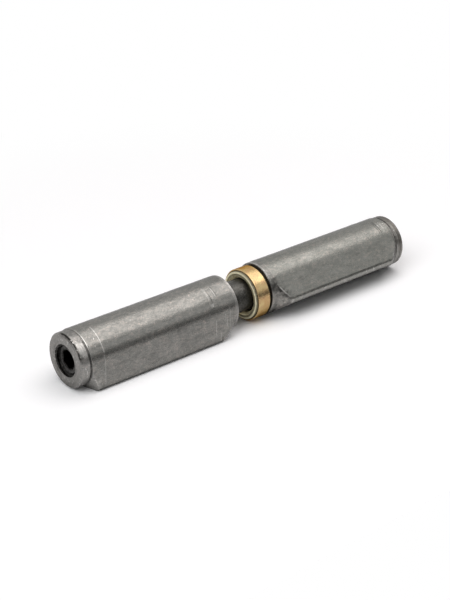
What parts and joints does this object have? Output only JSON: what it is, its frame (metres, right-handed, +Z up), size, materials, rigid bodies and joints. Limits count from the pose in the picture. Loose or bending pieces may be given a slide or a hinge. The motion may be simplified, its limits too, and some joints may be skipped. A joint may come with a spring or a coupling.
{
  "type": "gate hinge",
  "caption": "Weld-on barrel hinge for a gate: drop-section steel barrels turning on a pin, with a banded thrust bearing between them and a socket set screw in one end.",
  "frame": {"origin": "centre of the base of the hinge as it lies, pulled apart, on one flank of the upper barrel", "axes": "+X along the hinge axis from the upper barrel (with the set screw) to the lower one (with the pin); +Z up from the surface it lies on"},
  "size_m": [0.1488, 0.0232, 0.02],
  "materials": {
    "bar_steel": "bare drawn steel",
    "black_oxide": "black oxide",
    "pin_steel": "dark, ground",
    "yellow_zinc": "yellow zinc plating",
    "washer_zinc": "pale yellow zinc plating",
    "cage_steel": "plain sheet steel",
    "ball_steel": "polished"
  },
  "bodies": {
    "upper_barrel_body": {"upper_barrel": "bar_steel"},
    "set_screw_body": {"set_screw": "black_oxide"},
    "bearing_body": {"bearing_band": "yellow_zinc", "upper_washer": "washer_zinc"},
    "lower_barrel_body": {"lower_barrel": "bar_steel", "pin": "pin_steel"},
    "lower_washer_body": {"lower_washer": "washer_zinc"},
    "ball_cage_body": {"ball_cage": "cage_steel", "ball_01": "ball_steel", "ball_02": "ball_steel", "ball_03": "ball_steel", "ball_04": "ball_steel", "ball_05": "ball_steel", "ball_06": "ball_steel", "ball_07": "ball_steel", "ball_08": "ball_steel", "ball_09": "ball_steel", "ball_10": "ball_steel", "ball_11": "ball_steel", "ball_12": "ball_steel", "ball_13": "ball_steel", "ball_14": "ball_steel"}
  },
  "joints": [
    {"name": "lift", "type": "slide", "parent": "upper_barrel_body", "child": "bearing_body", "axis": [1, 0, 0], "range_m": [-0.00875, 0.036]},
    {"name": "swing", "type": "hinge", "parent": "bearing_body", "child": "lower_barrel_body", "pos_m": [0.00791, 0.00158, 0.01], "axis": [1, 0, 0], "continuous": true},
    {"name": "washer_turn", "type": "hinge", "parent": "bearing_body", "child": "lower_washer_body", "pos_m": [0.00791, 0.00158, 0.00968], "axis": [1, 0, 0], "continuous": true},
    {"name": "cage_turn", "type": "hinge", "parent": "bearing_body", "child": "ball_cage_body", "pos_m": [0.00791, 0.00158, 0.00968], "axis": [1, 0, 0], "continuous": true},
    {"name": "screw_travel", "type": "slide", "parent": "upper_barrel_body", "child": "set_screw_body", "axis": [1, 0, 0], "range_m": [-0.0105, 0.00525]}
  ],
  "couplings": [
    {"joint": "washer_turn", "follows": "swing", "ratio": 1},
    {"joint": "cage_turn", "follows": "swing", "ratio": 0.5}
  ]
}
